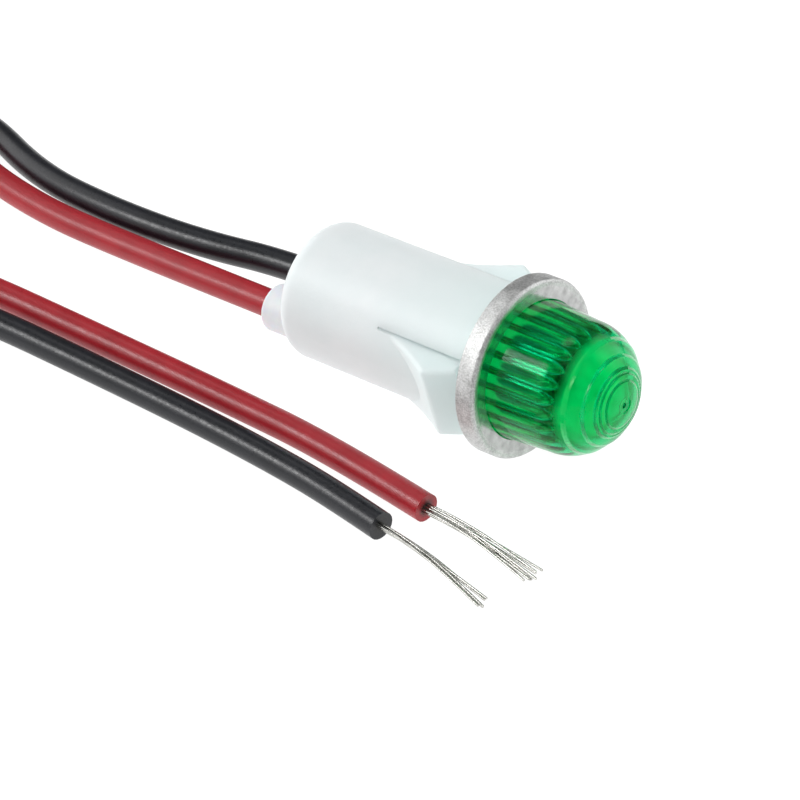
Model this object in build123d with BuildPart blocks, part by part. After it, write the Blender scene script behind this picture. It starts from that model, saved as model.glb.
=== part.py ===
"""Neon indicator lamp: a snap-in panel lamp with a fluted lens and two wire leads.

The lamp lies on a surface as it comes to rest, on the rim of its bezel and the
rear edge of its barrel, so its axis leans up a little towards the lens. X runs
along the axis in plan, towards the lens, and Z is up. The origin is on the
surface, under the middle of the lamp.

The pieces of the lamp are modelled upright on the lamp's own axis and laid down
when they are saved. There Z runs towards the lens, from zero at the front face
of the bezel, X runs to a snap finger, and Y runs to the keel, the side of the
barrel that the two leads lie nearest to. All sizes are in millimetres.
"""
from math import atan2, cos, pi, radians, sin, sqrt, tan
import os

from build123d import *

# ---- Driving dimensions -------------------------------------------------------

CLEARANCE = 0.05  # between pieces that slide together when the lamp is assembled

# Bezel: a cup pressed from sheet
BEZEL_RADIUS = 8.0
BEZEL_DEPTH = 1.9
BEZEL_SHEET = 0.35
BEZEL_LIP = 0.25  # how far the rear edge is spun in behind the flange
LENS_GAP = 0.07  # all round the lens where it passes through the bezel

# Housing: one nylon moulding
BARREL_RADIUS = 6.25
BARREL_REAR_RADIUS = 6.17
BARREL_WALL = 0.85
BODY_LENGTH = 23.7  # from the front face of the bezel to the rear wall
REAR_WALL = 1.2
REAR_ROUND = 1.5
RIM_WALL = 0.55  # of the flange, outside the lens

# Snap fingers: tongues of the barrel wall, each with a wedge on it
FINGER_COUNT = 2
FINGER_TURN = 7.0  # degrees round the barrel from square with the keel
FINGER_WIDTH = 7.7
FINGER_ROOT = 12.2  # behind the face, where the slots beside a finger end
FINGER_TIP = 2.75  # behind the face, the free end of a finger
FINGER_SLOT = 0.2
WEDGE_HEIGHT = 7.3  # from the axis to the wedge's peak
WEDGE_PEAK = 5.6  # behind the face
WEDGE_SLOPE = 30.0  # degrees between the ramp and the axis at the peak
WEDGE_SWEEP = 24.0  # radius of the hollow ramp
WEDGE_SWING = 15.0  # degrees that the ramp turns through
CATCH_HEIGHT = 5.95  # from the axis to the end of the catch face
PEAK_ROUND = 0.6
WEDGE_ROUND = 0.4  # along the wedge's sides

# Lens
LENS_RADIUS = 6.2
LENS_SHOULDER = 4.6  # where the straight taper turns into the dome
LENS_SHOULDER_RADIUS = 5.9
LENS_HEIGHT = 9.9
LENS_WALL = 0.85  # at the ribs between the flutes
LENS_CROWN = 1.4  # thickness at the top of the dome
CAVITY_HAUNCH = (0.77, 0.64)  # shares of the cavity's radius and of its dome's rise, part way up
LENS_FLANGE = 0.7
FLUTE_COUNT = 24
FLUTE_RADIUS = 0.62
FLUTE_DEPTH = 0.42
FLUTE_END = 6.3  # height of the tip of each flute
FLUTE_NOSE = 1.5  # length of the tapering end
FLUTE_PHASE = 4.5  # degrees from the X axis to the nearest flute
DOME_RINGS = (5.05, 3.98, 3.08, 2.7, 2.12)  # radii of the low steps round the dome
RING_RISE = 0.1
RING_BULGE = 0.05  # of the band between two steps
HUB_RADIUS = 0.75  # shallow dish at the top of the dome
HUB_DEPTH = 0.08
GATE_RADIUS = 0.25  # dimple left by the mould's gate

# Neon lamp
BULB_RADIUS = 3.05
BULB_GLASS = 0.45
BULB_TIP = 6.9  # height above the face
BULB_REAR = 6.6  # behind the face
BULB_SEAL = 1.4
SEAL_RADIUS = 2.0
ELECTRODE_RADIUS = 0.35
ELECTRODE_SPREAD = 0.9
ELECTRODE_FRONT = 3.2
ELECTRODE_REAR = 4.3
LAMP_WIRE_RADIUS = 0.2
LAMP_WIRE_BEND = 0.6
SPACER_THICKNESS = 1.6

# Resistor and crimped joints
RESISTOR_RADIUS = 0.95
RESISTOR_END_RADIUS = 1.1
RESISTOR_LENGTH = 4.4
RESISTOR_CAP = 1.1  # length of each end at its full radius
RESISTOR_NECK = 0.45  # length of the slope from an end to the middle
RESISTOR_ROUND = 0.36
RESISTOR_WIRE_RADIUS = 0.25
CRIMP_WALL = 0.3
LEAD_CRIMP_LENGTH = 2.8
LAMP_CRIMP_LENGTH = 1.7
CRIMP_GRIP = 0.45  # share of a crimp that holds the thinner wire
BARE_WIRE = (0.5, 1.0)  # between the resistor and the crimps in front of it and behind it
SLEEVE_BORE = 1.4
SLEEVE_WALL = 0.25
SLEEVE_LAP = 0.4  # beyond the crimps at each end
SLEEVE_SETBACK = 0.9  # in front of the bushings

# Leads and the bushings that they leave through
LEAD_RADIUS = 1.275
CONDUCTOR_RADIUS = 0.5
LEAD_OFFSET = 3.1  # from the lamp's axis
LEAD_ANGLE = 57.0  # degrees on each side of the keel
LEAD_SETBACK = 0.3  # from the sleeve to the lead's insulation
BUSHING_RADIUS = 2.15
BUSHING_OUT = 3.4  # how far a bushing stands out of the rear wall
BUSHING_IN = 1.0
BUSHING_ROUND = 0.5
BUSHING_MOUTH = (0.15, 2.5)  # flare of the bore where the lead leaves: widening, length
STRAND_COUNT = 10
STRAND_RADIUS = 0.127
STRAND_PAIR = 0.132  # from the middle of the bundle to each of its two inner strands
STRAND_LENGTH = 12.7
STRAND_WAIST = 0.3  # share of that length over which the strands stay together
STRAND_FAN = 2.6  # how many times wider the bundle is at the tips
STRAND_BEND = 6.0

# Each lead's route over the surface, once it has left its bushing
RED_RUN = 11.6  # from the start of the insulation to its first bend
RED_ROUTE = [
    (-36.5, -2.2, 1.95),
    (-46.0, -2.1, 1.275),
    (-55.0, -1.0, 1.275),
    (-63.0, 2.2, 1.275),
    (-70.5, 0.2, 1.275),
    (-74.8, -6.3, 1.275),
    (-74.0, -14.0, 1.275),
    (-68.2, -19.2, 1.275),
    (-60.5, -19.6, 1.275),
    (-53.5, -16.2, 1.275),
    (-44.5, -14.2, 1.275),
    (-28.7, -13.4, 1.275),
    (-15.0, -12.8, 1.275),
    (-3.0, -12.5, 1.275),
    (8.3, -13.6, 1.275),
]
BLACK_RUN = 8.8
BLACK_ROUTE = [
    (-30.0, 0.9, 3.35),
    (-40.0, 0.4, 2.6),
    (-50.0, 1.3, 1.7),
    (-60.0, 5.0, 1.275),
    (-69.2, 5.2, 1.275),
    (-76.4, 0.0, 1.275),
    (-79.0, -8.5, 1.275),
    (-76.4, -17.2, 1.275),
    (-69.0, -22.8, 1.275),
    (-59.6, -23.3, 1.275),
    (-51.0, -19.6, 1.275),
    (-40.0, -17.5, 1.275),
    (-25.5, -16.9, 1.275),
    (-14.5, -16.6, 1.275),
    (-5.5, -16.7, 1.275),
    (1.0, -17.1, 1.275),
    (7.0, -17.9, 1.275),
]

ROLL = 6.8  # degrees that the lamp lies rolled about its axis

# ---- How the lamp lies ----------------------------------------------------------

REST_LENGTH = BODY_LENGTH - REAR_ROUND - BEZEL_DEPTH
LEAN = atan2(BEZEL_RADIUS - BARREL_REAR_RADIUS, REST_LENGTH)
FACE_HEIGHT = BEZEL_RADIUS * cos(LEAN) + BEZEL_DEPTH * sin(LEAN)
FACE_X = (BODY_LENGTH + BUSHING_OUT - LENS_HEIGHT) / 2 * cos(LEAN)
level = Plane(origin=(FACE_X, 0, FACE_HEIGHT), x_dir=(0, -1, 0), z_dir=(cos(LEAN), 0, sin(LEAN)))
lamp = Plane(level.location * Rotation(0, 0, ROLL))

# ---- Places that several pieces share -------------------------------------------

FLANGE_REAR = BEZEL_DEPTH - BEZEL_SHEET  # behind the face
BAND_BORE = BEZEL_RADIUS - BEZEL_SHEET
FLANGE_RADIUS = BAND_BORE - CLEARANCE
LENS_FLANGE_RADIUS = FLANGE_RADIUS - RIM_WALL - CLEARANCE
LENS_HOLE_RADIUS = LENS_RADIUS + LENS_GAP
LENS_BORE_RADIUS = LENS_SHOULDER_RADIUS - LENS_WALL
LENS_SEAT = BEZEL_SHEET + LENS_FLANGE  # behind the face
BARREL_BORE = BARREL_RADIUS - BARREL_WALL
LEAD_X = LEAD_OFFSET * sin(radians(LEAD_ANGLE))
LEAD_Y = LEAD_OFFSET * cos(radians(LEAD_ANGLE))

# The joints inside the housing, by their distance behind the face, worked out from the rear
SLEEVE_REAR = BODY_LENGTH - REAR_WALL - BUSHING_IN - SLEEVE_SETBACK
LEAD_START = SLEEVE_REAR + LEAD_SETBACK
LEAD_CRIMP_REAR = SLEEVE_REAR - SLEEVE_LAP
LEAD_CRIMP_FRONT = LEAD_CRIMP_REAR - LEAD_CRIMP_LENGTH
LEAD_JOINT = LEAD_CRIMP_FRONT + CRIMP_GRIP * LEAD_CRIMP_LENGTH
RESISTOR_REAR = LEAD_CRIMP_FRONT - BARE_WIRE[1]
RESISTOR_FRONT = RESISTOR_REAR - RESISTOR_LENGTH
LAMP_CRIMP_REAR = RESISTOR_FRONT - BARE_WIRE[0]
LAMP_CRIMP_FRONT = LAMP_CRIMP_REAR - LAMP_CRIMP_LENGTH
LAMP_JOINT = LAMP_CRIMP_FRONT + CRIMP_GRIP * LAMP_CRIMP_LENGTH
SLEEVE_FRONT = LAMP_CRIMP_FRONT - SLEEVE_LAP


def corner(x, y):
    """The open sketch's corner nearest to a point of the sketch."""
    return vertices().sort_by_distance((x, y, 0))[0]


def turned(outline, x=0, y=0):
    """A solid turned about an upright axis at x, y from (radius, height) points."""
    with BuildPart() as piece:
        with BuildSketch(Plane(origin=(x, y, 0), x_dir=(1, 0, 0), z_dir=(0, -1, 0))):
            with BuildLine():
                Polyline(*outline, close=True)
            make_face()
        revolve(axis=Axis((x, y, 0), (0, 0, 1)))
    return piece


def rod(radius, top, bottom, x=0, y=0):
    """A plain round rod between two heights."""
    return turned([(0, bottom), (radius, bottom), (radius, top), (0, top)], x, y)


def ring(bore, radius, top, bottom, x=0, y=0):
    """A plain ring or tube between two heights."""
    return turned([(bore, bottom), (radius, bottom), (radius, top), (bore, top)], x, y)


def crimp(front, rear, joint, thin, thick, x):
    """A crimp barrel that grips a thin wire in front of the joint and a thicker one behind."""
    outside = max(thin, thick) + CRIMP_WALL
    outline = [
        (thin, -front),
        (outside, -front),
        (outside, -rear),
        (thick, -rear),
        (thick, -joint),
        (thin, -joint),
    ]
    return turned(outline, x, LEAD_Y)


def write(name, part):
    """Label a part and write it to a STEP file of its own."""
    part.label = name
    export_step(part, f"parts/{name}.step")


def lay_down(name, piece):
    """Lay an upright piece down in the lamp's resting place and write it."""
    write(name, piece.part.moved(lamp.location))


os.makedirs("parts", exist_ok=True)

# ---- Bezel ------------------------------------------------------------------------

with BuildPart() as bezel:
    with BuildSketch(Plane.XZ):
        with BuildLine():
            Polyline(
                (LENS_HOLE_RADIUS, 0),
                (BEZEL_RADIUS, 0),
                (BEZEL_RADIUS, -BEZEL_DEPTH),
                (BAND_BORE - BEZEL_LIP, -BEZEL_DEPTH),
                (BAND_BORE, -FLANGE_REAR - CLEARANCE),
                (BAND_BORE, -BEZEL_SHEET),
                (LENS_HOLE_RADIUS, -BEZEL_SHEET),
                close=True,
            )
        make_face()
        fillet(corner(BEZEL_RADIUS, 0), BEZEL_SHEET)
        fillet(corner(BEZEL_RADIUS, -BEZEL_DEPTH), BEZEL_SHEET / 2)
    revolve(axis=Axis.Z)
lay_down("bezel", bezel)

# ---- Lens --------------------------------------------------------------------------

DOME_RISE = LENS_HEIGHT - LENS_SHOULDER


def dome_height(radius):
    """Height of the dome's elliptical outline at a distance from the axis."""
    return LENS_SHOULDER + DOME_RISE * sqrt(1 - (radius / LENS_SHOULDER_RADIUS) ** 2)


with BuildPart(mode=Mode.PRIVATE) as flute:
    nose_start = FLUTE_END - FLUTE_NOSE
    nose_radius = (FLUTE_RADIUS**2 + FLUTE_NOSE**2) / (2 * FLUTE_RADIUS)
    with BuildSketch(Plane.XZ):
        with BuildLine():
            Polyline(
                (0, FLUTE_END),
                (0, -LENS_SEAT),
                (FLUTE_RADIUS, -LENS_SEAT),
                (FLUTE_RADIUS, nose_start),
            )
            RadiusArc((FLUTE_RADIUS, nose_start), (0, FLUTE_END), -nose_radius)
        make_face()
    revolve(axis=Axis.Z)

with BuildPart() as lens:
    with BuildSketch(Plane.XZ):
        halfway = (LENS_SHOULDER_RADIUS + DOME_RINGS[0]) / 2
        step_feet = [(radius, dome_height(radius) - RING_RISE / 2) for radius in DOME_RINGS]
        band_ends = step_feet[1:] + [(HUB_RADIUS, LENS_HEIGHT)]
        with BuildLine():
            Polyline(
                (0, LENS_HEIGHT - HUB_DEPTH),
                (0, -LENS_SEAT),
                (LENS_FLANGE_RADIUS, -LENS_SEAT),
                (LENS_FLANGE_RADIUS, -BEZEL_SHEET),
                (LENS_RADIUS, -BEZEL_SHEET),
                (LENS_SHOULDER_RADIUS, LENS_SHOULDER),
            )
            ThreePointArc(
                (LENS_SHOULDER_RADIUS, LENS_SHOULDER),
                (halfway, dome_height(halfway)),
                step_feet[0],
            )
            for foot, band_end in zip(step_feet, band_ends):
                head = (foot[0], foot[1] + RING_RISE)
                middle = ((head[0] + band_end[0]) / 2, (head[1] + band_end[1]) / 2 + RING_BULGE)
                Line(foot, head)
                ThreePointArc(head, middle, band_end)
            Polyline(
                (HUB_RADIUS, LENS_HEIGHT),
                (HUB_RADIUS, LENS_HEIGHT - HUB_DEPTH),
                (0, LENS_HEIGHT - HUB_DEPTH),
            )
        make_face()
    revolve(axis=Axis.Z)
    with BuildSketch(Plane.XZ):
        crown = LENS_HEIGHT - LENS_CROWN
        shoulder = (LENS_BORE_RADIUS, LENS_SHOULDER)
        haunch_out, haunch_up = CAVITY_HAUNCH
        haunch = (LENS_BORE_RADIUS * haunch_out, LENS_SHOULDER + (crown - LENS_SHOULDER) * haunch_up)
        with BuildLine():
            Polyline((0, crown), (0, -LENS_SEAT), (LENS_BORE_RADIUS, -LENS_SEAT), shoulder)
            Spline(shoulder, haunch, (0, crown), tangents=[(0, 1), (-1, 0)])
        make_face()
    revolve(axis=Axis.Z, mode=Mode.SUBTRACT)
    with PolarLocations(LENS_BORE_RADIUS + FLUTE_DEPTH - FLUTE_RADIUS, FLUTE_COUNT, FLUTE_PHASE):
        add(flute.part, mode=Mode.SUBTRACT)
    with Locations((0, 0, LENS_HEIGHT - HUB_DEPTH)):
        Sphere(GATE_RADIUS, mode=Mode.SUBTRACT)
lay_down("lens", lens)

# ---- Housing ------------------------------------------------------------------------

with BuildPart(mode=Mode.PRIVATE) as wedge:
    wedge_base = BARREL_BORE / 2
    slope = radians(WEDGE_SLOPE)
    with BuildSketch(Plane.XZ):
        with BuildLine():
            Polyline(
                (WEDGE_HEIGHT, -WEDGE_PEAK),
                (CATCH_HEIGHT, -FINGER_TIP),
                (wedge_base, -FINGER_TIP),
            )
            ramp = JernArc(
                start=(WEDGE_HEIGHT, -WEDGE_PEAK),
                tangent=(-sin(slope), -cos(slope)),
                radius=WEDGE_SWEEP,
                arc_size=WEDGE_SWING,
            )
            Polyline(ramp @ 1, (wedge_base, (ramp @ 1).Y), (wedge_base, -FINGER_TIP))
        make_face()
        fillet(corner(WEDGE_HEIGHT, -WEDGE_PEAK), PEAK_ROUND)
    extrude(amount=FINGER_WIDTH / 2, both=True)
    outer_edges = edges().filter_by(lambda edge: (edge @ 0.5).X > wedge_base + 0.01)
    fillet(outer_edges.filter_by(lambda edge: abs((edge % 0.5).Y) < 0.1), WEDGE_ROUND)

with BuildPart() as housing:
    with BuildSketch(Plane.XZ):
        with BuildLine():
            Polyline(
                (0, -BODY_LENGTH),
                (BARREL_REAR_RADIUS, -BODY_LENGTH),
                (BARREL_RADIUS, -FLANGE_REAR),
                (FLANGE_RADIUS, -FLANGE_REAR),
                (FLANGE_RADIUS, -BEZEL_SHEET),
                (0, -BEZEL_SHEET),
                close=True,
            )
        make_face()
        fillet(corner(BARREL_REAR_RADIUS, -BODY_LENGTH), REAR_ROUND)
    revolve(axis=Axis.Z)
    with PolarLocations(0, FINGER_COUNT, FINGER_TURN):
        add(wedge.part)
    with BuildSketch(Plane.XZ):
        with BuildLine():
            Polyline(
                (0, REAR_WALL - BODY_LENGTH),
                (BARREL_BORE, REAR_WALL - BODY_LENGTH),
                (BARREL_BORE, -LENS_SEAT),
                (LENS_FLANGE_RADIUS + CLEARANCE, -LENS_SEAT),
                (LENS_FLANGE_RADIUS + CLEARANCE, 0),
                (0, 0),
                close=True,
            )
        make_face()
    revolve(axis=Axis.Z, mode=Mode.SUBTRACT)
    # three slots free each finger: one along each side and one across its tip
    slot_side = (FINGER_WIDTH + FINGER_SLOT) / 2
    slot_front = FINGER_SLOT - FINGER_TIP
    slot_box = (BARREL_RADIUS, FINGER_SLOT, FINGER_ROOT + slot_front)
    tip_box = (BARREL_RADIUS, FINGER_WIDTH + 2 * FINGER_SLOT, FINGER_SLOT)
    under = (Align.CENTER, Align.CENTER, Align.MAX)
    for finger in range(FINGER_COUNT):
        turn = FINGER_TURN + finger * 360 / FINGER_COUNT
        with Locations(Plane.XY.offset(slot_front).rotated((0, 0, turn))):
            with Locations((BARREL_RADIUS, slot_side), (BARREL_RADIUS, -slot_side)):
                Box(*slot_box, align=under, mode=Mode.SUBTRACT)
            with Locations((BARREL_RADIUS, 0)):
                Box(*tip_box, align=under, mode=Mode.SUBTRACT)
    with Locations((LEAD_X, LEAD_Y, -BODY_LENGTH), (-LEAD_X, LEAD_Y, -BODY_LENGTH)):
        Cylinder(BUSHING_RADIUS + CLEARANCE, 3 * REAR_WALL, mode=Mode.SUBTRACT)
lay_down("housing", housing)

# ---- Neon lamp ------------------------------------------------------------------------

with BuildPart() as bulb:
    with BuildSketch(Plane.XZ):
        shell_front = BULB_TIP - BULB_RADIUS
        seal_front = -BULB_REAR + BULB_SEAL
        with BuildLine():
            Polyline(
                (0, -BULB_REAR),
                (SEAL_RADIUS, -BULB_REAR),
                (SEAL_RADIUS, seal_front - BULB_GLASS),
                (BULB_RADIUS, seal_front + BULB_GLASS),
                (BULB_RADIUS, shell_front),
            )
            RadiusArc((BULB_RADIUS, shell_front), (0, BULB_TIP), -BULB_RADIUS)
            Line((0, BULB_TIP), (0, -BULB_REAR))
        make_face()
    revolve(axis=Axis.Z)
    with BuildSketch(Plane.XZ):
        inside = BULB_RADIUS - BULB_GLASS
        with BuildLine():
            Polyline(
                (0, shell_front + inside),
                (0, seal_front),
                (SEAL_RADIUS - BULB_GLASS, seal_front),
                (inside, seal_front + 2 * BULB_GLASS),
                (inside, shell_front),
            )
            RadiusArc((inside, shell_front), (0, shell_front + inside), -inside)
        make_face()
    revolve(axis=Axis.Z, mode=Mode.SUBTRACT)
    with Locations((ELECTRODE_SPREAD, 0, -BULB_REAR), (-ELECTRODE_SPREAD, 0, -BULB_REAR)):
        Cylinder(LAMP_WIRE_RADIUS, 4 * BULB_SEAL, mode=Mode.SUBTRACT)
lay_down("bulb", bulb)

# The red lead's branch runs at +X and the black lead's branch at -X
for branch, name in ((1, "red"), (-1, "black")):
    x, y = branch * LEAD_X, LEAD_Y
    electrode = rod(ELECTRODE_RADIUS, ELECTRODE_FRONT, -ELECTRODE_REAR, branch * ELECTRODE_SPREAD)
    lay_down(f"electrode_{name}_side", electrode)
    wire_end = -LAMP_JOINT if name == "red" else -LEAD_JOINT
    with BuildPart() as lamp_wire:
        with BuildLine() as bent:
            FilletPolyline(
                (branch * ELECTRODE_SPREAD, 0, -ELECTRODE_REAR),
                (branch * ELECTRODE_SPREAD, 0, -BULB_REAR - LAMP_WIRE_BEND),
                (x, y, -SLEEVE_FRONT),
                (x, y, wire_end),
                radius=LAMP_WIRE_BEND,
            )
        with BuildSketch(Plane(origin=bent.line @ 0, z_dir=bent.line % 0)):
            Circle(LAMP_WIRE_RADIUS)
        sweep()
    lay_down(f"lamp_wire_{name}_side", lamp_wire)
    sleeve = ring(SLEEVE_BORE, SLEEVE_BORE + SLEEVE_WALL, -SLEEVE_FRONT, -SLEEVE_REAR, x, y)
    lay_down(f"insulating_sleeve_{name}", sleeve)

spacer_front = -LENS_SEAT - CLEARANCE
spacer = ring(
    BULB_RADIUS + CLEARANCE,
    BARREL_BORE - CLEARANCE,
    spacer_front,
    spacer_front - SPACER_THICKNESS,
)
lay_down("bulb_spacer", spacer)

# ---- Resistor and crimps -----------------------------------------------------------------

with BuildPart() as resistor:
    with BuildSketch(Plane(origin=(LEAD_X, LEAD_Y, 0), x_dir=(1, 0, 0), z_dir=(0, -1, 0))):
        with BuildLine():
            Polyline(
                (0, -RESISTOR_FRONT),
                (RESISTOR_END_RADIUS, -RESISTOR_FRONT),
                (RESISTOR_END_RADIUS, -RESISTOR_FRONT - RESISTOR_CAP),
                (RESISTOR_RADIUS, -RESISTOR_FRONT - RESISTOR_CAP - RESISTOR_NECK),
                (RESISTOR_RADIUS, -RESISTOR_REAR + RESISTOR_CAP + RESISTOR_NECK),
                (RESISTOR_END_RADIUS, -RESISTOR_REAR + RESISTOR_CAP),
                (RESISTOR_END_RADIUS, -RESISTOR_REAR),
                (0, -RESISTOR_REAR),
                close=True,
            )
        make_face()
        fillet(corner(RESISTOR_END_RADIUS, -RESISTOR_FRONT), RESISTOR_ROUND)
        fillet(corner(RESISTOR_END_RADIUS, -RESISTOR_REAR), RESISTOR_ROUND)
    revolve(axis=Axis((LEAD_X, LEAD_Y, 0), (0, 0, 1)))
lay_down("resistor", resistor)
lay_down("resistor_wire_front", rod(RESISTOR_WIRE_RADIUS, -LAMP_JOINT, -RESISTOR_FRONT, LEAD_X, LEAD_Y))
lay_down("resistor_wire_rear", rod(RESISTOR_WIRE_RADIUS, -RESISTOR_REAR, -LEAD_JOINT, LEAD_X, LEAD_Y))
lamp_crimp = (LAMP_CRIMP_FRONT, LAMP_CRIMP_REAR, LAMP_JOINT)
lead_crimp = (LEAD_CRIMP_FRONT, LEAD_CRIMP_REAR, LEAD_JOINT)
lay_down("crimp_lamp_to_resistor", crimp(*lamp_crimp, LAMP_WIRE_RADIUS, RESISTOR_WIRE_RADIUS, LEAD_X))
lay_down("crimp_red_lead", crimp(*lead_crimp, RESISTOR_WIRE_RADIUS, CONDUCTOR_RADIUS, LEAD_X))
lay_down("crimp_black_lead", crimp(*lead_crimp, LAMP_WIRE_RADIUS, CONDUCTOR_RADIUS, -LEAD_X))

# ---- Bushings and leads --------------------------------------------------------------------


def bushing(x):
    """A strain-relief bushing, pressed through the rear wall around its lead."""
    bottom = -BODY_LENGTH - BUSHING_OUT
    top = -BODY_LENGTH + REAR_WALL + BUSHING_IN
    flare, flare_length = BUSHING_MOUTH
    with BuildPart() as piece:
        with BuildSketch(Plane(origin=(x, LEAD_Y, 0), x_dir=(1, 0, 0), z_dir=(0, -1, 0))):
            with BuildLine():
                Polyline(
                    (LEAD_RADIUS, top),
                    (BUSHING_RADIUS, top),
                    (BUSHING_RADIUS, bottom),
                    (LEAD_RADIUS + flare, bottom),
                    (LEAD_RADIUS, bottom + flare_length),
                    close=True,
                )
            make_face()
            fillet(corner(BUSHING_RADIUS, bottom), BUSHING_ROUND)
        revolve(axis=Axis((x, LEAD_Y, 0), (0, 0, 1)))
    return piece


def bend_radii(points):
    """The largest bend at each corner: 0.45 of the shorter run over tan of half the turn."""
    radii = []
    for before, here, after in zip(points, points[1:], points[2:]):
        arriving = Vector(*here) - Vector(*before)
        leaving = Vector(*after) - Vector(*here)
        half_turn = radians(arriving.get_angle(leaving)) / 2
        radii.append(0.45 * min(arriving.length, leaving.length) / tan(half_turn))
    return radii


def lead(name, x, first_run, route):
    """Write one lead: its insulation, its conductor and the bare strands at its cut end."""
    joint = lamp.from_local_coords((x, LEAD_Y, -LEAD_JOINT))
    start = lamp.from_local_coords((x, LEAD_Y, -LEAD_START))
    bend = lamp.from_local_coords((x, LEAD_Y, -LEAD_START - first_run))
    points = [tuple(start), tuple(bend), *route]
    radii = bend_radii(points)
    with BuildLine() as centre:
        FilletPolyline(*points, radius=radii)
    across = Plane(origin=start, z_dir=bend - start)

    with BuildPart() as insulation:
        with BuildSketch(across):
            Circle(LEAD_RADIUS)
            Circle(CONDUCTOR_RADIUS, mode=Mode.SUBTRACT)
        sweep(path=centre.line)
    write(f"insulation_{name}", insulation.part)

    length = centre.wires()[0].length
    expected = pi * (LEAD_RADIUS**2 - CONDUCTOR_RADIUS**2) * length
    print(f"{name} lead: length {length:.1f}, bend radii", [round(radius, 1) for radius in radii])
    print(f"  volume {insulation.part.volume:.2f}, section times length {expected:.2f}")

    with BuildPart() as conductor:
        with BuildSketch(across):
            Circle(CONDUCTOR_RADIUS)
        sweep(path=centre.line)
        with BuildSketch(across):
            Circle(CONDUCTOR_RADIUS)
        extrude(amount=-(joint - start).length)
    write(f"conductor_{name}", conductor.part)
    write(f"strands_{name}", strands(centre.line @ 1, centre.line % 1))


def strands(cut, onward):
    """The bare strands beyond a cut end: a tight bundle that fans out sideways."""
    end = Plane(origin=cut, x_dir=(0, 0, 1), z_dir=onward)
    ring_radius = CONDUCTOR_RADIUS - STRAND_RADIUS
    places = [(-STRAND_PAIR, 0), (STRAND_PAIR, 0)]
    for strand in range(STRAND_COUNT - 2):
        angle = 2 * pi * (strand + 0.5) / (STRAND_COUNT - 2)
        places.append((ring_radius * cos(angle), ring_radius * sin(angle)))
    with BuildPart() as bundle:
        for up, across in places:
            root = end.from_local_coords((up, across, 0))
            waist = end.from_local_coords((up, across, STRAND_LENGTH * STRAND_WAIST))
            tip = end.from_local_coords((up, across * STRAND_FAN, STRAND_LENGTH))
            with BuildLine() as centre:
                if across:
                    FilletPolyline(root, waist, tip, radius=STRAND_BEND)
                else:
                    Line(root, tip)
            with BuildSketch(Plane(origin=root, z_dir=onward)):
                Circle(STRAND_RADIUS)
            sweep(path=centre.line)
    return bundle.part


lay_down("bushing_red", bushing(LEAD_X))
lay_down("bushing_black", bushing(-LEAD_X))
lead("red", LEAD_X, RED_RUN, RED_ROUTE)
lead("black", -LEAD_X, BLACK_RUN, BLACK_ROUTE)
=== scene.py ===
# %% [markdown]
# A neon indicator lamp lies on a pale table with its two leads curled round beside it.
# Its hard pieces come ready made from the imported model, which is the frame of this scene.
# They could be modelled again here, but then two sets of sizes would have to agree.
# Blender adds what that model can't carry: the limp leads, the loose strands at their ends,
# and the look of each surface.

# %% Load the frame
from math import cos, radians, sin

import bpy
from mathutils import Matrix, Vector


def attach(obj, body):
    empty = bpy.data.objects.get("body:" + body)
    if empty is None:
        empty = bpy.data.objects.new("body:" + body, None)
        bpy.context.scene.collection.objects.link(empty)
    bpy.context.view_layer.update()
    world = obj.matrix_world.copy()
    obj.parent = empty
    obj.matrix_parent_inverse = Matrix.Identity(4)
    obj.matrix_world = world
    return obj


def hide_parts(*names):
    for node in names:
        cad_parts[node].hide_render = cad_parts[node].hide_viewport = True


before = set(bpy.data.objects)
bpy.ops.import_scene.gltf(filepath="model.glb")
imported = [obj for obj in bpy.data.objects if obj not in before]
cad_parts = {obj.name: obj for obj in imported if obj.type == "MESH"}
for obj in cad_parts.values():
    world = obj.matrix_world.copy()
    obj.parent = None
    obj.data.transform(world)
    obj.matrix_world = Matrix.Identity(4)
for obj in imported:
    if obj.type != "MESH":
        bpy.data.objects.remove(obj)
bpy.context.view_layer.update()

# %% [markdown]
# The camera looks down on the lamp from halfway between its side and its lens, where both
# the barrel and the dome show their form.
# A wide lens close by would swell the dome and shrink the rear. A long one from nearly half
# a metre keeps the barrel's sides almost parallel.
# The aim is a point between the lamp and the leads' cut ends, so that both are in the picture.

# %% Camera
MM = 0.001
AIM = Vector((1.012, -8.374, 6.074)) * MM
AZIMUTH, ELEVATION, DISTANCE = radians(40.20), radians(36.37), 0.45
FILM_WIDTH, FOCAL_LENGTH = 36, 240.65  # in millimetres, as Blender gives a camera's sizes
NEAREST_SEEN = 0.01

toward_camera = Vector(
    (sin(AZIMUTH) * cos(ELEVATION), -cos(AZIMUTH) * cos(ELEVATION), sin(ELEVATION))
)
camera_data = bpy.data.cameras.new("camera")
camera_data.sensor_width = FILM_WIDTH
camera_data.lens = FOCAL_LENGTH
camera_data.clip_start = NEAREST_SEEN
camera = bpy.data.objects.new("camera", camera_data)
camera.location = AIM + toward_camera * DISTANCE
camera.rotation_euler = toward_camera.to_track_quat("Z", "Y").to_euler()
bpy.context.collection.objects.link(camera)
bpy.context.scene.camera = camera
print("camera at", [round(v, 4) for v in camera.location])

# %% [markdown]
# Each lead is one fixed length of soft PVC wire: straight out of its bushing, down to the
# table, round in a loose loop, and back past the lamp to its stripped end.
# A mesh tube would need a ring of points at each bend. A NURBS curve of order 3 turns a few
# points into one smooth line, as a limp wire lies, and its points stay easy to move.
# The order and the end points are set after the points, or the curve stays at straight runs.
# Each point carries the wire's radius and the bevel is one unit deep, because Blender works
# out a curve's box from the radius of its points.

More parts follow.
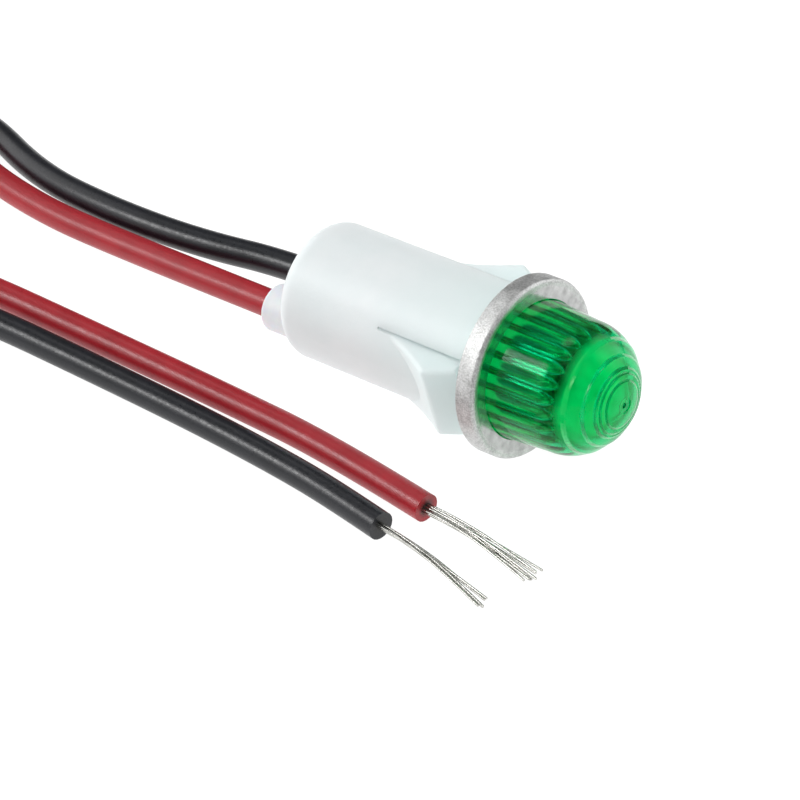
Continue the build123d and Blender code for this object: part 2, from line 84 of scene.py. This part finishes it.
# %% Leads
LEAD_DIAMETER = 2.55 * MM
LYING = 1.275  # height of a lead's middle where it lies on the table, in millimetres
RED_ROUTE = [
    (-12.072, -2.382, 4.285),
    (-23.625, -2.382, 3.244),
    (-36.5, -2.2, 1.95),
    (-46.0, -2.1, LYING),
    (-55.0, -1.0, LYING),
    (-63.0, 2.2, LYING),
    (-70.5, 0.2, LYING),
    (-74.8, -6.3, LYING),
    (-74.0, -14.0, LYING),
    (-68.2, -19.2, LYING),
    (-60.5, -19.6, LYING),
    (-53.5, -16.2, LYING),
    (-44.5, -14.2, LYING),
    (-28.7, -13.4, LYING),
    (-15.0, -12.8, LYING),
    (-3.0, -12.5, LYING),
    (8.3, -13.6, LYING),
]
BLACK_ROUTE = [
    (-12.127, 2.782, 4.899),
    (-20.892, 2.782, 4.109),
    (-30.0, 0.9, 3.35),
    (-40.0, 0.4, 2.6),
    (-50.0, 1.3, 1.7),
    (-60.0, 5.0, LYING),
    (-69.2, 5.2, LYING),
    (-76.4, 0.0, LYING),
    (-79.0, -8.5, LYING),
    (-76.4, -17.2, LYING),
    (-69.0, -22.8, LYING),
    (-59.6, -23.3, LYING),
    (-51.0, -19.6, LYING),
    (-40.0, -17.5, LYING),
    (-25.5, -16.9, LYING),
    (-14.5, -16.6, LYING),
    (-5.5, -16.7, LYING),
    (1.0, -17.1, LYING),
    (7.0, -17.9, LYING),
]


def smooth_line(curve, route, radius):
    """Adds one open spline to a curve, with the route's points in millimetres."""
    spline = curve.splines.new("NURBS")
    spline.points.add(len(route) - 1)
    for point, place in zip(spline.points, route):
        point.co = (*(Vector(place) * MM), 1)
        point.radius = radius
    spline.order_u = 3
    spline.use_endpoint_u = True
    spline.resolution_u = 12


def round_wire(name, radius, routes):
    """A curve object of round wires, one for each route."""
    curve = bpy.data.curves.new(name, "CURVE")
    curve.dimensions = "3D"
    curve.bevel_depth = 1.0
    curve.bevel_resolution = 8
    curve.use_fill_caps = True
    for route in routes:
        smooth_line(curve, route, radius)
    wire = bpy.data.objects.new(name, curve)
    bpy.context.collection.objects.link(wire)
    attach(wire, "root")
    return wire


red_lead = round_wire("red_lead", LEAD_DIAMETER / 2, [RED_ROUTE])
black_lead = round_wire("black_lead", LEAD_DIAMETER / 2, [BLACK_ROUTE])
print("leads:", red_lead.name, black_lead.name)

# %% [markdown]
# Ten tinned strands stand out of each stripped end. They leave it as one tight bundle,
# bow a little, and part towards their tips. No two end in the same place.
# Random offsets would tangle them, so the tips are listed one by one, and each strand finds
# its own way to its tip from its place in the bundle.

# %% Strands
STRAND_DIAMETER = 0.21 * MM
BUNDLE_WIDTH, BUNDLE_HEIGHT = 0.25, 0.375  # from the bundle's middle, in millimetres
STRAND_TURN = 2.4  # round the bundle from one strand to the next, in radians
EARLY_PART = 0.22  # of a tip's sideways distance, which its strand has from the start
STOPS = (-0.1, 0.1, 0.35, 0.6)  # along the way from the cut end to the tips
PARTING = 1.5  # a higher power keeps the strands together for longer
BOW = Vector((0.0, 0.15, 0.35))  # of a strand's middle, in millimetres
RED_TIPS = [
    (21.0, -13.9, 1.3),
    (20.75, -14.4, 1.3),
    (20.6, -14.25, 1.0),
    (21.3, -15.1, 1.3),
    (21.0, -15.3, 1.2),
    (20.9, -15.5, 1.3),
    (20.6, -14.95, 0.8),
    (20.7, -15.1, 0.9),
    (20.6, -15.8, 1.2),
    (20.3, -15.45, 0.85),
]
BLACK_TIPS = [
    (19.85, -19.7, 1.3),
    (20.3, -20.7, 1.3),
    (19.45, -19.45, 0.8),
    (19.9, -20.9, 1.3),
    (19.6, -19.75, 1.1),
    (19.7, -19.6, 1.15),
    (19.5, -20.4, 0.8),
    (19.8, -19.95, 1.3),
    (20.1, -20.5, 1.0),
    (19.7, -20.55, 1.0),
]


def strand_routes(cut_end, tips):
    """Routes for the strands of one lead, from inside its cut end to their own tips."""
    cut_end = Vector(cut_end)
    run = sum((Vector(tip) for tip in tips), Vector()) / len(tips) - cut_end
    side = run.cross(Vector((0, 0, 1))).normalized()
    lift = side.cross(run).normalized()
    routes = []
    for strand, tip in enumerate(tips):
        turn = STRAND_TURN * strand
        parted = Vector(tip) - cut_end - run
        across = EARLY_PART * parted.dot(side) + BUNDLE_WIDTH * cos(turn)
        packed = side * across + lift * BUNDLE_HEIGHT * sin(turn)
        route = []
        for stop in STOPS:
            arch = 4 * stop * (1 - stop)  # 0 at both ends and 1 halfway
            middle = cut_end + run * stop + BOW * arch
            route.append(middle + packed.lerp(parted, max(stop, 0) ** PARTING))
        routes.append([*route, Vector(tip)])
    return routes


red_strands = round_wire(
    "loose_strands_red", STRAND_DIAMETER / 2, strand_routes(RED_ROUTE[-1], RED_TIPS)
)
black_strands = round_wire(
    "loose_strands_black", STRAND_DIAMETER / 2, strand_routes(BLACK_ROUTE[-1], BLACK_TIPS)
)
print("strands:", len(red_strands.data.splines), "and", len(black_strands.data.splines))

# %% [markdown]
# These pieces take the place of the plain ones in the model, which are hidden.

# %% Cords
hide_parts("insulation_red", "conductor_red")
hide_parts("insulation_black", "conductor_black")
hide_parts("strands_red")
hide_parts("strands_black")

# %% [markdown]
# Some effects serve several finishes. Each is a shader node group, built once and placed in
# a material with its own values, so that a change to it reaches them all.
# The first tells how far a point lies along the lamp's axis and how far from it. Texture
# coordinates of each mesh would differ from piece to piece. Object coordinates are the same
# for all the pieces, and need only be turned back by the lamp's lean.

# %% Group: along the lamp
LEAN = radians(5.151)  # of the lamp's axis, with the lens end up
FACE = Vector((8.565, 0.0, 8.138)) * MM  # the middle of the bezel's face


def new_group(name, inputs, outputs):
    """An empty shader node group with float inputs (name, default) and float outputs."""
    group = bpy.data.node_groups.new(name, "ShaderNodeTree")
    for label, value in inputs:
        socket = group.interface.new_socket(
            label, in_out="INPUT", socket_type="NodeSocketFloat"
        )
        socket.default_value = value
    for label in outputs:
        group.interface.new_socket(label, in_out="OUTPUT", socket_type="NodeSocketFloat")
    return group, group.nodes.new("NodeGroupInput"), group.nodes.new("NodeGroupOutput")


def joined(tree, source, target):
    """Links an output socket to an input socket."""
    tree.links.new(source, target)


def vector_step(tree, operation):
    """A vector math node set to one operation."""
    node = tree.nodes.new("ShaderNodeVectorMath")
    node.operation = operation
    return node


def build_along_lamp():
    """Millimetres along the lamp's axis from the bezel's face, and from the axis."""
    group, _, result = new_group("along_lamp", [], ["Along", "Off Axis"])
    place = group.nodes.new("ShaderNodeTexCoord")
    moved = vector_step(group, "SUBTRACT")
    moved.inputs[1].default_value = FACE
    turned = group.nodes.new("ShaderNodeVectorRotate")
    turned.rotation_type = "Y_AXIS"
    turned.inputs["Angle"].default_value = LEAN
    scaled = vector_step(group, "SCALE")
    scaled.inputs["Scale"].default_value = 1 / MM
    parts = group.nodes.new("ShaderNodeSeparateXYZ")
    across = group.nodes.new("ShaderNodeCombineXYZ")
    distance = vector_step(group, "LENGTH")
    joined(group, place.outputs["Object"], moved.inputs[0])
    joined(group, moved.outputs["Vector"], turned.inputs["Vector"])
    joined(group, turned.outputs["Vector"], scaled.inputs[0])
    joined(group, scaled.outputs["Vector"], parts.inputs["Vector"])
    joined(group, parts.outputs["Y"], across.inputs["Y"])
    joined(group, parts.outputs["Z"], across.inputs["Z"])
    joined(group, across.outputs["Vector"], distance.inputs[0])
    joined(group, parts.outputs["X"], result.inputs["Along"])
    joined(group, distance.outputs["Value"], result.inputs["Off Axis"])
    return group


along_lamp = build_along_lamp()
print("group:", along_lamp.name)

# %% [markdown]
# A lead's cut end gets a painted shade round its strands, where they shadow it, and nowhere
# else. A second material on part of the curve would have a hard border, so this group makes a
# soft spot round one place.

# %% Group: near a place
def build_near_place():
    """1 at a place given in millimetres, falling to 0 between Inner and Outer around it."""
    group, given, result = new_group(
        "near_place",
        [("X", 0.0), ("Y", 0.0), ("Z", 0.0), ("Inner", 0.4), ("Outer", 0.8)],
        ["Mask"],
    )
    place = group.nodes.new("ShaderNodeTexCoord")
    scaled = vector_step(group, "SCALE")
    scaled.inputs["Scale"].default_value = 1 / MM
    middle = group.nodes.new("ShaderNodeCombineXYZ")
    away = vector_step(group, "DISTANCE")
    fade = group.nodes.new("ShaderNodeMapRange")
    fade.inputs["To Min"].default_value = 1.0
    fade.inputs["To Max"].default_value = 0.0
    for axis in "XYZ":
        joined(group, given.outputs[axis], middle.inputs[axis])
    joined(group, place.outputs["Object"], scaled.inputs[0])
    joined(group, scaled.outputs["Vector"], away.inputs[0])
    joined(group, middle.outputs["Vector"], away.inputs[1])
    joined(group, away.outputs["Value"], fade.inputs["Value"])
    joined(group, given.outputs["Inner"], fade.inputs["From Min"])
    joined(group, given.outputs["Outer"], fade.inputs["From Max"])
    joined(group, fade.outputs["Result"], result.inputs["Mask"])
    return group


near_place = build_near_place()
print("group:", near_place.name)

# %% [markdown]
# No moulded or drawn surface is quite even. Painted wear would have to be done piece by
# piece, but noise in space covers them all: coarse for patches, fine for grain.

# %% Group: uneven
NOISE_LOW, NOISE_HIGH = 0.3, 0.7  # most of the noise lies between these


def build_uneven():
    """A soft mask of noise, spread over the whole range from 0 to 1."""
    group, given, result = new_group("uneven", [("Scale", 500.0), ("Detail", 4.0)], ["Mask"])
    place = group.nodes.new("ShaderNodeTexCoord")
    noise = group.nodes.new("ShaderNodeTexNoise")
    spread = group.nodes.new("ShaderNodeMapRange")
    spread.inputs["From Min"].default_value = NOISE_LOW
    spread.inputs["From Max"].default_value = NOISE_HIGH
    joined(group, place.outputs["Object"], noise.inputs["Vector"])
    joined(group, given.outputs["Scale"], noise.inputs["Scale"])
    joined(group, given.outputs["Detail"], noise.inputs["Detail"])
    joined(group, noise.outputs["Fac"], spread.inputs["Value"])
    joined(group, spread.outputs["Result"], result.inputs["Mask"])
    return group


uneven = build_uneven()
print("group:", uneven.name)

# %% [markdown]
# The studio is a tent with soft windows. Each window is a round glow in one direction, and
# its edge fades, because a hard edge would show as a drawn shape in the lens.

# %% Group: soft window
def build_window():
    """The glow of a soft round window: full within Core, gone beyond Edge (both cosines)."""
    direction = [("X", 0.0), ("Y", 0.0), ("Z", 1.0)]
    light = [("Core", 0.97), ("Edge", 0.85), ("Strength", 1.0)]
    group, given, result = new_group("soft_window", direction + light, ["Glow"])
    look = group.nodes.new("ShaderNodeTexCoord")
    middle = group.nodes.new("ShaderNodeCombineXYZ")
    aim = vector_step(group, "NORMALIZE")
    near = vector_step(group, "DOT_PRODUCT")
    fade = group.nodes.new("ShaderNodeMapRange")
    fade.interpolation_type = "SMOOTHSTEP"
    for axis in "XYZ":
        joined(group, given.outputs[axis], middle.inputs[axis])
    joined(group, middle.outputs["Vector"], aim.inputs[0])
    joined(group, look.outputs["Generated"], near.inputs[0])
    joined(group, aim.outputs["Vector"], near.inputs[1])
    joined(group, near.outputs["Value"], fade.inputs["Value"])
    joined(group, given.outputs["Edge"], fade.inputs["From Min"])
    joined(group, given.outputs["Core"], fade.inputs["From Max"])
    joined(group, given.outputs["Strength"], fade.inputs["To Max"])
    joined(group, fade.outputs["Result"], result.inputs["Glow"])
    return group


soft_window = build_window()
print("group:", soft_window.name)

# %% [markdown]
# A finish is a small tree of nodes that ends in one Principled shader. Nodes could be placed
# by hand in the editor, but a few helpers say the same in one line each.
# The first ones make values and masks.

# %% Helpers for masks
def placed(tree, group, **values):
    """A node that uses a group, with its own input values."""
    node = tree.nodes.new("ShaderNodeGroup")
    node.node_tree = group
    for label, value in values.items():
        node.inputs[label].default_value = value
    return node


def mask_of(tree, group, **values):
    """The mask that a group gives for its own input values."""
    return placed(tree, group, **values).outputs["Mask"]


def calculated(tree, operation, *values):
    """The result of one operation; each value is a socket or a number."""
    node = tree.nodes.new("ShaderNodeMath")
    node.operation = operation
    for socket, value in zip(node.inputs, values):
        if isinstance(value, bpy.types.NodeSocket):
            joined(tree, value, socket)
        else:
            socket.default_value = value
    return node.outputs["Value"]


def range_of(tree, source, from_min, from_max, to_min=0.0, to_max=1.0):
    """A value mapped from one range to another, and kept inside it."""
    node = tree.nodes.new("ShaderNodeMapRange")
    for label, value in (
        ("From Min", from_min),
        ("From Max", from_max),
        ("To Min", to_min),
        ("To Max", to_max),
    ):
        node.inputs[label].default_value = value
    joined(tree, source, node.inputs["Value"])
    return node.outputs["Result"]


print("helpers for masks: placed, mask_of, calculated, range_of")

# %% [markdown]
# The others start a finish, lead its colour, roughness and relief by a mask, and put it on
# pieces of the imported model, whose own plain colour it replaces.

# %% Helpers for a finish
MIX_FACTOR, MIX_FIRST, MIX_SECOND, MIX_COLOUR = 0, 6, 7, 2  # sockets of a mix node


def finish_of(name):
    """A new material with its tree and its Principled shader."""
    material = bpy.data.materials.new(name)
    material.use_nodes = True
    tree = material.node_tree
    return material, tree, tree.nodes["Principled BSDF"]


def mixed(tree, mask, first, second):
    """Two colours mixed by a mask; each is a socket or a plain colour."""
    node = tree.nodes.new("ShaderNodeMix")
    node.data_type = "RGBA"
    joined(tree, mask, node.inputs[MIX_FACTOR])
    for place, colour in ((MIX_FIRST, first), (MIX_SECOND, second)):
        if isinstance(colour, tuple):
            node.inputs[place].default_value = (*colour, 1)
        else:
            joined(tree, colour, node.inputs[place])
    return node.outputs[MIX_COLOUR]


def coloured(tree, shader, mask, first, second):
    """Lets a mask lead the base colour from the first colour to the second."""
    joined(tree, mixed(tree, mask, first, second), shader.inputs["Base Color"])


def roughened(tree, shader, mask, smooth, dull):
    """Lets a mask lead the roughness from smooth to dull."""
    joined(tree, range_of(tree, mask, 0.0, 1.0, smooth, dull), shader.inputs["Roughness"])


def bumped(tree, shader, height, strength, distance):
    """Feeds a height to the shader's normal; distance is in metres."""
    node = tree.nodes.new("ShaderNodeBump")
    node.inputs["Strength"].default_value = strength
    node.inputs["Distance"].default_value = distance
    joined(tree, height, node.inputs["Height"])
    joined(tree, node.outputs["Normal"], shader.inputs["Normal"])


def dress(material, *nodes):
    """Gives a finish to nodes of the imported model."""
    for node in nodes:
        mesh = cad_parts[node].data
        mesh.materials.clear()
        mesh.materials.append(material)
    print(material.name, "on", ", ".join(nodes))


print("helpers for a finish: finish_of, mixed, coloured, roughened, bumped, dress")

# %% [markdown]
# The lamp lies on a plain white table, which glows a little, as the lit paper of a light
# tent does, so shadows stay faint. Light crosses the walls and flutes of the lens many
# times, so it is allowed many bounces before it is given up.

# %% Table
TABLE_REACH = 3.0  # from the middle to each edge, in metres
PAPER_GREY, PAPER_GLOW = 0.20, 0.96

bpy.context.scene.view_settings.view_transform = "Standard"
bpy.context.scene.cycles.max_bounces = 24
bpy.context.scene.cycles.transmission_bounces = 20
bpy.context.scene.cycles.transparent_max_bounces = 16

table_mesh = bpy.data.meshes.new("table")
corners = [(-1, -1), (1, -1), (1, 1), (-1, 1)]
table_mesh.from_pydata(
    [(x * TABLE_REACH, y * TABLE_REACH, 0) for x, y in corners], [], [(0, 1, 2, 3)]
)
table = bpy.data.objects.new("table", table_mesh)
bpy.context.collection.objects.link(table)
table_paper, _, paper = finish_of("table_paper")
paper.inputs["Base Color"].default_value = (PAPER_GREY, PAPER_GREY, PAPER_GREY, 1)
paper.inputs["Roughness"].default_value = 0.9
paper.inputs["Specular IOR Level"].default_value = 0.0
paper.inputs["Emission Color"].default_value = (1, 1, 1, 1)
paper.inputs["Emission Strength"].default_value = PAPER_GLOW
table_mesh.materials.append(table_paper)
print("table:", 2 * TABLE_REACH, "m wide")

# %% [markdown]
# The tent's walls glow evenly, and six soft windows in them are brighter. Lamps near the
# table would light its middle more than its edges. The windows are drawn in the world's
# background, endlessly far away, so they light every part of the table alike.
# The two small ones draw the long highlights on the lens, rim and leads. The faint one below
# the second gives the leads their soft lower side. The three broad ones light the barrel.

# %% Light
# Each window: the direction it lies in, the cosines of its core and edge, its strength.
# Left and right are as the camera sees them.
WINDOWS = [
    (-0.34, 0.21, 0.92, 0.999, 0.975, 3.2),  # small, nearly overhead
    (-0.55, -0.60, 0.58, 0.998, 0.978, 14.0),  # small and strong, at the left
    (-0.56, -0.76, 0.33, 0.985, 0.940, 1.3),  # faint, below the second
    (0.45, 0.77, 0.45, 0.97, 0.82, 2.0),  # broad, at the back on the right
    (-0.96, -0.05, 0.28, 0.96, 0.80, 1.8),  # broad, beyond the barrel's rear end
    (0.36, -0.24, 0.90, 0.97, 0.82, 1.05),  # broad, overhead
]
WALL_GLOW = 0.13

world = bpy.data.worlds.new("light_tent")
world.use_nodes = True
tree = world.node_tree
glow = WALL_GLOW
for x, y, z, core, edge, strength in WINDOWS:
    window = placed(tree, soft_window, X=x, Y=y, Z=z, Core=core, Edge=edge, Strength=strength)
    glow = calculated(tree, "ADD", window.outputs["Glow"], glow)
tree.nodes["Background"].inputs["Color"].default_value = (1, 1, 1, 1)
joined(tree, glow, tree.nodes["Background"].inputs["Strength"])
bpy.context.scene.world = world
print("windows:", len(WINDOWS))

# %% [markdown]
# The barrel is natural nylon, milky and a little translucent.
# Green light from the lens is painted into its colour near the front, and the moulding is
# faintly uneven.
# White paint would look hard and chalky, so subsurface scattering gives the milky depth, and
# noise in colour and roughness does the rest.

# %% Nylon
NYLON_SHADES = (0.83, 0.91, 0.93), (0.87, 0.94, 0.96)
# painted light: the green that the lens throws on the front of the barrel
LENS_LIGHT_GREEN = (0.77, 0.90, 0.885)
TINT_START, TINT_FULL = -14.0, -1.0  # along the axis
MILKY_DEPTH = 1.4 * MM  # how far light strays inside

nylon, tree, shader = finish_of("milky_nylon")
lamp_place = placed(tree, along_lamp)
clouds = mask_of(tree, uneven, Scale=260.0, Detail=3.0)
grain = mask_of(tree, uneven, Scale=2600.0, Detail=3.0)
# painted green light from the lens, growing towards the front
painted_lens_light = range_of(tree, lamp_place.outputs["Along"], TINT_START, TINT_FULL)
coloured(tree, shader, painted_lens_light, mixed(tree, clouds, *NYLON_SHADES), LENS_LIGHT_GREEN)
roughened(tree, shader, grain, smooth=0.38, dull=0.52)
shader.inputs["Subsurface Weight"].default_value = 0.6
shader.inputs["Subsurface Radius"].default_value = (1.0, 1.0, 1.0)
shader.inputs["Subsurface Scale"].default_value = MILKY_DEPTH
bumped(tree, shader, grain, strength=0.08, distance=0.00008)
dress(nylon, "housing", "bulb_spacer")

# %% [markdown]
# The bushings are a little darker and bluer than the barrel, with less subsurface scattering,
# so they look flatter beside it.

# %% Bushing
BUSHING_SHADES = (0.76, 0.79, 0.82), (0.82, 0.84, 0.87)

soft_white, tree, shader = finish_of("bushing_white")
patches = mask_of(tree, uneven, Scale=700.0, Detail=3.0)
coloured(tree, shader, patches, *BUSHING_SHADES)
shader.inputs["Roughness"].default_value = 0.45
shader.inputs["Subsurface Weight"].default_value = 0.3
shader.inputs["Subsurface Scale"].default_value = 1.0 * MM
bumped(tree, shader, patches, strength=0.1, distance=0.00005)
dress(soft_white, "bushing_red", "bushing_black")

# %% [markdown]
# The bezel is pressed steel. Its rim is satin and grainy from the tool, and its flat face
# is polished, so the face mirrors the ribs of the lens that stands in it.
# One plain metal would look new and dead. The distance from the axis tells the rim from the
# face, and larger patches give the mottling of handled metal.

# %% Bezel steel
RIM_START = (7.2, 7.6)  # from the axis, where the polish of the face ends
STEEL_SHADES = (0.36, 0.365, 0.36), (0.88, 0.885, 0.88)
GRAIN_SHARE, PATCH_SHARE = 0.5, 0.4  # of the way from the dark shade to the bright one
FACE_ROUGHNESS, RIM_ROUGHNESS = 0.10, 0.46
PATCH_DULLING = 0.3

steel, tree, shader = finish_of("satin_steel")
lamp_place = placed(tree, along_lamp)
rim = range_of(tree, lamp_place.outputs["Off Axis"], *RIM_START)
mottle = mask_of(tree, uneven, Scale=1100.0, Detail=4.0)
fine = mask_of(tree, uneven, Scale=6500.0, Detail=2.0)
grain = calculated(tree, "MULTIPLY", fine, rim)
worn = calculated(tree, "MULTIPLY", mottle, PATCH_SHARE)
shade = calculated(tree, "MULTIPLY_ADD", grain, GRAIN_SHARE, worn)
coloured(tree, shader, shade, *STEEL_SHADES)
shader.inputs["Metallic"].default_value = 1.0
polish = range_of(tree, rim, 0.0, 1.0, FACE_ROUGHNESS, RIM_ROUGHNESS)
dullness = calculated(tree, "MULTIPLY_ADD", worn, PATCH_DULLING, polish)
joined(tree, dullness, shader.inputs["Roughness"])
bumped(tree, shader, grain, strength=0.30, distance=0.00006)
dress(steel, "bezel")

# %% [markdown]
# The lens is clear green plastic. A green surface over clear plastic would be equally green
# everywhere, so its colour lies in the depth of the plastic. The ribs between the flutes,
# which look dark beside the thin floor of each flute, also get a painted shade of dark green.
# Its outside is glossy, with five low steps round the dome. The mould left its inside
# duller, most of all under the dome.
# Masks tell these places apart by their distance along the axis and from it.

# %% Lens masks
DOME_START, DOME_TOP, LENS_RADIUS = 4.6, 9.9, 5.95  # the outline of the dome
INNER_WALL = (0.96, 0.95)  # as parts of that outline: outside it, and inside it
FLUTE_TIPS = (6.6, 6.0)  # along the axis, where the flutes run out
RIB_CREST, FLUTE_FLOOR = 5.14, 5.28  # from the axis, inside the lens
DOME_STEPS = (5.05, 3.98, 3.08, 2.70, 2.12)  # radii of the steps round the dome
STEP_WIDTH = 0.11
STEPS_BEGIN = (5.0, 6.0)  # along the axis

green, tree, shader = finish_of("emerald_lens")
lamp_place = placed(tree, along_lamp)
along, off_axis = lamp_place.outputs["Along"], lamp_place.outputs["Off Axis"]
outline = tree.nodes.new("ShaderNodeCombineXYZ")
reach = vector_step(tree, "LENGTH")
joined(tree, range_of(tree, along, DOME_START, DOME_TOP), outline.inputs["X"])
joined(tree, range_of(tree, off_axis, 0.0, LENS_RADIUS), outline.inputs["Y"])
joined(tree, outline.outputs["Vector"], reach.inputs[0])
inside = range_of(tree, reach.outputs["Value"], *INNER_WALL)
outside = calculated(tree, "SUBTRACT", 1.0, inside)
fluted = calculated(tree, "MULTIPLY", inside, range_of(tree, along, *FLUTE_TIPS))
crests = range_of(tree, off_axis, FLUTE_FLOOR, RIB_CREST)
rib_shade = calculated(tree, "MULTIPLY", fluted, crests)
relief = 0.0
for radius in DOME_STEPS:
    step = range_of(tree, off_axis, radius + STEP_WIDTH, radius - STEP_WIDTH)
    relief = calculated(tree, "ADD", step, relief)
relief = calculated(tree, "MULTIPLY", relief, range_of(tree, along, *STEPS_BEGIN))
relief = calculated(tree, "MULTIPLY", relief, outside)
print("steps round the dome:", len(DOME_STEPS))

# %% [markdown]
# The masks lead the lens's colour, roughness and relief, and a volume colours its depth.
# Light that has to find its way through two curved walls leaves noise, so for shadow rays
# the lens is plain green and transparent, and the pieces inside it are lit evenly.

# %% Lens green
LENS_SHADES = (0.015, 0.84, 0.39), (0.02, 0.94, 0.48)
# painted shade: the dark green put on the ribs between the flutes
RIB_SHADE_GREEN = (0.0, 0.12, 0.03)
INNER_ROUGHNESS = (0.22, 0.27)  # at the flutes, and under the dome
DOME_BEGINS = (5.8, 6.8)  # along the axis, where the one turns to the other
OUTER_ROUGHNESS = 0.04
GLARE_TINT = (0.14, 0.16, 0.15, 1)
DEPTH_GREEN, DEPTH_DENSITY = (0.05, 0.94, 0.86, 1), 1600
SHADOW_GREEN = (0.30, 0.93, 0.65, 1)


def clear_in_shadow(tree, shader, colour):
    """For shadow rays, puts a plain transparent colour in the place of a shader."""
    light_path = tree.nodes.new("ShaderNodeLightPath")
    see_through = tree.nodes.new("ShaderNodeBsdfTransparent")
    see_through.inputs["Color"].default_value = colour
    either = tree.nodes.new("ShaderNodeMixShader")
    joined(tree, light_path.outputs["Is Shadow Ray"], either.inputs["Fac"])
    joined(tree, shader.outputs["BSDF"], either.inputs[1])
    joined(tree, see_through.outputs["BSDF"], either.inputs[2])
    joined(tree, either.outputs["Shader"], tree.nodes["Material Output"].inputs["Surface"])


clouds = mask_of(tree, uneven, Scale=650.0, Detail=3.0)
# painted shade: the ribs between the flutes get a dark green
coloured(tree, shader, rib_shade, mixed(tree, clouds, *LENS_SHADES), RIB_SHADE_GREEN)
dullness = range_of(tree, along, *DOME_BEGINS, *INNER_ROUGHNESS)
dullness = calculated(tree, "MULTIPLY_ADD", dullness, inside, OUTER_ROUGHNESS)
joined(tree, dullness, shader.inputs["Roughness"])
bumped(tree, shader, relief, strength=1.0, distance=0.0003)
shader.inputs["IOR"].default_value = 1.49
shader.inputs["Specular Tint"].default_value = GLARE_TINT
shader.inputs["Transmission Weight"].default_value = 1.0
depth = tree.nodes.new("ShaderNodeVolumeAbsorption")
depth.inputs["Color"].default_value = DEPTH_GREEN
depth.inputs["Density"].default_value = DEPTH_DENSITY
joined(tree, depth.outputs["Volume"], tree.nodes["Material Output"].inputs["Volume"])
clear_in_shadow(tree, shader, SHADOW_GREEN)
dress(green, "lens")

# %% [markdown]
# The bulb is clear, smooth glass round two electrodes. It is real glass here and not a thin
# film, because its thick seal bends what lies behind it.

# %% Bulb glass
clear, tree, shader = finish_of("bulb_glass")
shader.inputs["Base Color"].default_value = (0.95, 0.97, 0.95, 1)
shader.inputs["Roughness"].default_value = 0.01
shader.inputs["IOR"].default_value = 1.5
shader.inputs["Transmission Weight"].default_value = 1.0
clear_in_shadow(tree, shader, (1, 1, 1, 1))
dress(clear, "bulb")

# %% [markdown]
# Wires, crimps and electrodes are bare metal with a dull skin. Each could have a finish of
# its own, but they differ only in shade and gloss, so one recipe serves them all: a metal
# whose roughness and colour wander a little.

# %% Bare metals
METAL_DULLING = 0.18  # from the smoothest patch to the dullest


def bare_metal(name, dark, bright, rough):
    """A metal whose colour and roughness vary from place to place."""
    metal, tree, shader = finish_of(name)
    patches = mask_of(tree, uneven, Scale=700.0, Detail=2.0)
    coloured(tree, shader, patches, dark, bright)
    roughened(tree, shader, patches, rough, rough + METAL_DULLING)
    shader.inputs["Metallic"].default_value = 1.0
    return metal


tinned = bare_metal("tinned_wire", (0.42, 0.42, 0.39), (0.60, 0.59, 0.56), 0.20)
nickel = bare_metal("nickel_electrode", (0.42, 0.42, 0.41), (0.62, 0.61, 0.60), 0.30)
crimp_skin = bare_metal("tinned_crimp", (0.56, 0.53, 0.46), (0.76, 0.73, 0.66), 0.28)
for strands in (red_strands, black_strands):
    strands.data.materials.append(tinned)
dress(tinned, "strands_red", "strands_black", "lamp_wire_red_side", "lamp_wire_black_side")
dress(tinned, "resistor_wire_front", "resistor_wire_rear", "conductor_red", "conductor_black")
dress(nickel, "electrode_red_side", "electrode_black_side")
dress(crimp_skin, "crimp_lamp_to_resistor", "crimp_red_lead", "crimp_black_lead")

# %% [markdown]
# The leads' insulation is soft PVC with a satin skin, slightly uneven from handling. A clear
# coat would make it look lacquered, so its gloss comes from the plastic alone.
# At a cut end the skin is darker where the strands leave it: their shadow is painted into its
# colour.
# The resistor's lacquer and the sleeves over the joints are made in the same way.

# %% Plastic skins
SKIN_DULLING = 0.12  # from the smoothest point of the grain to the dullest
# painted shade round the strands in a cut end, where they shadow it
STRAND_SHADE_REACH = {"Inner": 0.45, "Outer": 0.95}  # round the strands, in millimetres
STRAND_SHADE_DARKNESS = 0.12  # as a part of the dark colour


def plastic_skin(name, dark, bright, rough, cut_end=None):
    """A satin plastic with faint patches and a fine grain, and painted shade round the strands
    in a cut end.
    """
    skin, tree, shader = finish_of(name)
    patches = mask_of(tree, uneven, Scale=420.0, Detail=4.0)
    fine = mask_of(tree, uneven, Scale=3800.0, Detail=3.0)
    colour = mixed(tree, patches, dark, bright)
    if cut_end:
        # painted shade: the cut end darkened round its strands
        strand_shade = mask_of(tree, near_place, **dict(zip("XYZ", cut_end)), **STRAND_SHADE_REACH)
        colour = mixed(tree, strand_shade, colour, tuple(STRAND_SHADE_DARKNESS * part for part in dark))
    joined(tree, colour, shader.inputs["Base Color"])
    roughened(tree, shader, fine, rough, rough + SKIN_DULLING)
    bumped(tree, shader, fine, strength=0.12, distance=0.00004)
    return skin


red_skin = plastic_skin(
    "red_insulation", (0.35, 0.011, 0.019), (0.43, 0.016, 0.026), 0.29, RED_ROUTE[-1]
)
black_skin = plastic_skin(
    "black_insulation", (0.004, 0.005, 0.008), (0.009, 0.010, 0.015), 0.27, BLACK_ROUTE[-1]
)
resistor_skin = plastic_skin("resistor_lacquer", (0.60, 0.46, 0.28), (0.72, 0.58, 0.38), 0.35)
sleeve_skin = plastic_skin("sleeve_clear", (0.72, 0.70, 0.62), (0.82, 0.80, 0.74), 0.40)
red_lead.data.materials.append(red_skin)
black_lead.data.materials.append(black_skin)
dress(red_skin, "insulation_red")
dress(black_skin, "insulation_black")
dress(resistor_skin, "resistor")
dress(sleeve_skin, "insulating_sleeve_red", "insulating_sleeve_black")
